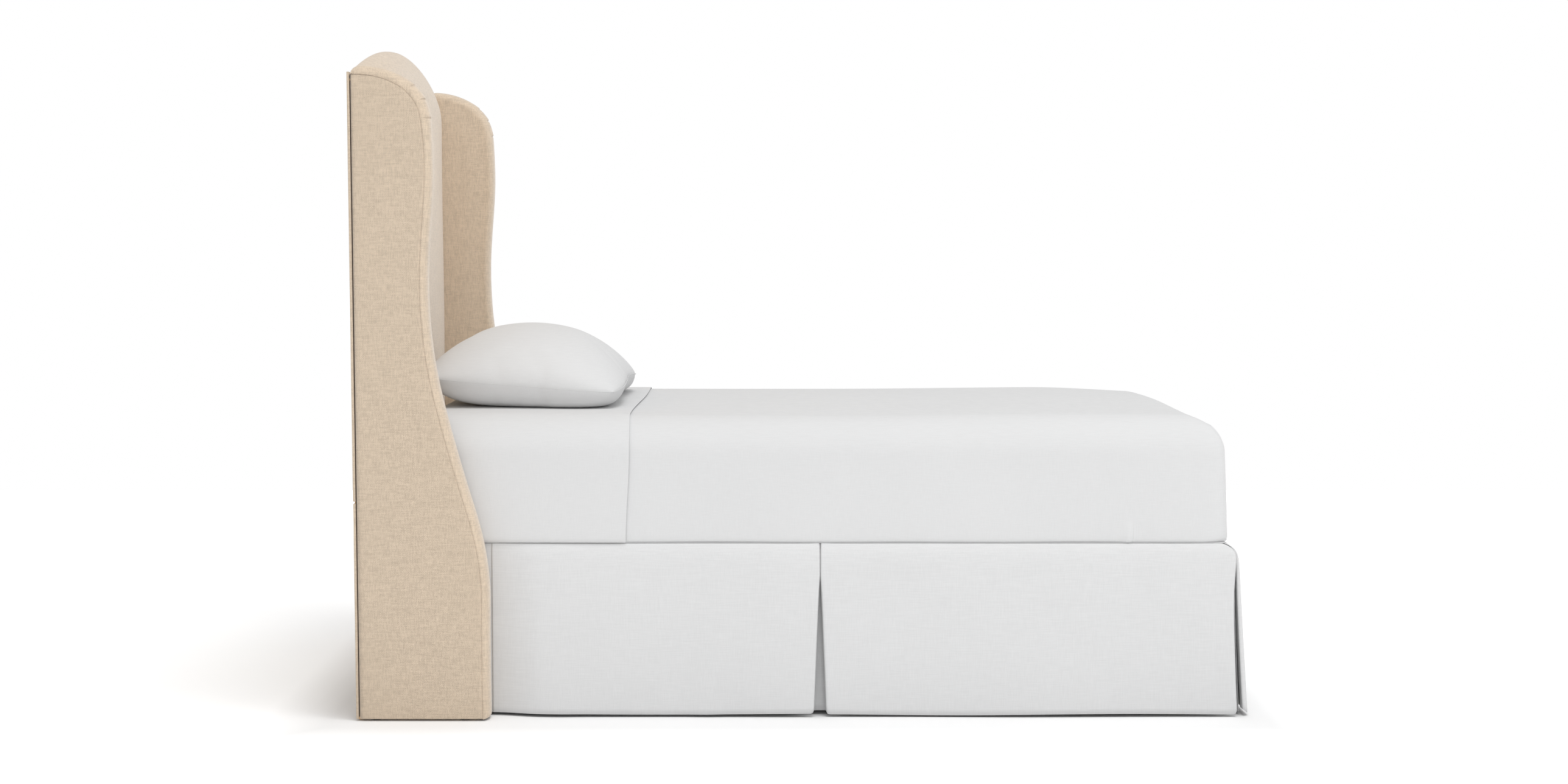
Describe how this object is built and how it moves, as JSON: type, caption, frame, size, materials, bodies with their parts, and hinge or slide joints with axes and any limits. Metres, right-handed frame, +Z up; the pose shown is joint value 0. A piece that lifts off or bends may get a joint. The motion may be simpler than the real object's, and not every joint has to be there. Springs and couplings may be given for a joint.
{
  "type": "upholstered headboard bed",
  "caption": "Single bed with a tall fabric wing headboard, steel frame, box spring, pleated skirt, mattress, white linen and a pillow.",
  "frame": {"origin": "on the floor under the middle of the whole bed", "axes": "+Z up, +X from the headboard towards the foot, +Y to the left of someone lying in the bed"},
  "size_m": [2.053, 1.12, 1.566],
  "materials": {
    "upholstery": "woven linen look",
    "linen": "matte cotton",
    "skirt": "matte woven cotton",
    "ticking": "knitted ticking",
    "dust_cloth": "woven, covered board",
    "foam": "open cell foam",
    "frame_wood": "raw softwood",
    "steel": "satin brown paint",
    "fasteners": "zinc plated",
    "glide_plastic": "moulded"
  },
  "bodies": {
    "bedstead": {"headboard_post_right": "frame_wood", "wing_core_right": "frame_wood", "wing_foam_right": "foam", "wing_outer_panel_right": "upholstery", "wing_inner_panel_right": "upholstery", "wing_band_right": "upholstery", "side_rail_right": "steel", "headboard_bracket_right": "steel", "headboard_post_left": "frame_wood", "wing_core_left": "frame_wood", "wing_foam_left": "foam", "wing_outer_panel_left": "upholstery", "wing_inner_panel_left": "upholstery", "wing_band_left": "upholstery", "side_rail_left": "steel", "headboard_bracket_left": "steel", "headboard_top_rail": "frame_wood", "headboard_middle_rail": "frame_wood", "headboard_bottom_rail": "frame_wood", "headboard_face_board": "frame_wood", "headboard_foam": "foam", "headboard_cover": "upholstery", "back_panel_upper": "dust_cloth", "back_panel_lower": "dust_cloth", "wing_bolts": "fasteners", "wing_glides": "glide_plastic", "cross_arm_head": "steel", "cross_arm_foot": "steel", "bracket_bolts": "fasteners", "frame_rivets": "fasteners", "leg_head_right": "steel", "leg_head_left": "steel", "leg_foot_right": "steel", "leg_foot_left": "steel"},
    "leg_glide_head_right": {"leg_glide_head_right": "glide_plastic"},
    "leg_glide_head_left": {"leg_glide_head_left": "glide_plastic"},
    "leg_glide_foot_right": {"leg_glide_foot_right": "glide_plastic"},
    "leg_glide_foot_left": {"leg_glide_foot_left": "glide_plastic"},
    "box_spring": {"box_spring_cover": "ticking", "box_spring_frame": "frame_wood", "box_spring_slats": "frame_wood", "box_spring_pad": "foam", "skirt_deck": "skirt", "skirt_corner_right": "skirt", "skirt_corner_left": "skirt"},
    "skirt_side_right": {"skirt_side_head_right": "skirt", "skirt_side_foot_right": "skirt", "skirt_pleat_right": "skirt"},
    "skirt_side_left": {"skirt_side_head_left": "skirt", "skirt_side_foot_left": "skirt", "skirt_pleat_left": "skirt"},
    "skirt_foot": {"skirt_foot_panel": "skirt"},
    "mattress": {"mattress_core": "foam", "mattress_cover": "ticking", "fitted_sheet": "linen", "flat_sheet": "linen", "coverlet": "linen"},
    "pillow": {"pillow_insert": "foam", "pillow_case": "linen"}
  },
  "joints": [
    {"name": "glide_head_right_screw", "type": "slide", "parent": "bedstead", "child": "leg_glide_head_right", "axis": [0, 0, -1], "range_m": [0, 0.015]},
    {"name": "glide_head_left_screw", "type": "slide", "parent": "bedstead", "child": "leg_glide_head_left", "axis": [0, 0, -1], "range_m": [0, 0.015]},
    {"name": "glide_foot_right_screw", "type": "slide", "parent": "bedstead", "child": "leg_glide_foot_right", "axis": [0, 0, -1], "range_m": [0, 0.015]},
    {"name": "glide_foot_left_screw", "type": "slide", "parent": "bedstead", "child": "leg_glide_foot_left", "axis": [0, 0, -1], "range_m": [0, 0.015]},
    {"name": "box_spring_lift", "type": "slide", "parent": "bedstead", "child": "box_spring", "axis": [0, 0, 1], "range_m": [0, 0.12]},
    {"name": "mattress_lift", "type": "slide", "parent": "box_spring", "child": "mattress", "axis": [0, 0, 1], "range_m": [0, 0.2]},
    {"name": "pillow_lift", "type": "slide", "parent": "mattress", "child": "pillow", "axis": [0, 0, 1], "range_m": [0, 0.3]},
    {"name": "skirt_right_lift", "type": "hinge", "parent": "box_spring", "child": "skirt_side_right", "pos_m": [0, -0.4925, 0.4039], "axis": [-1, 0, 0], "range_deg": [0, 70]},
    {"name": "skirt_left_lift", "type": "hinge", "parent": "box_spring", "child": "skirt_side_left", "pos_m": [0, 0.4925, 0.4039], "axis": [1, 0, 0], "range_deg": [0, 70]},
    {"name": "skirt_foot_lift", "type": "hinge", "parent": "box_spring", "child": "skirt_foot", "pos_m": [0.9885, 0, 0.4039], "axis": [0, -1, 0], "range_deg": [0, 70]}
  ]
}
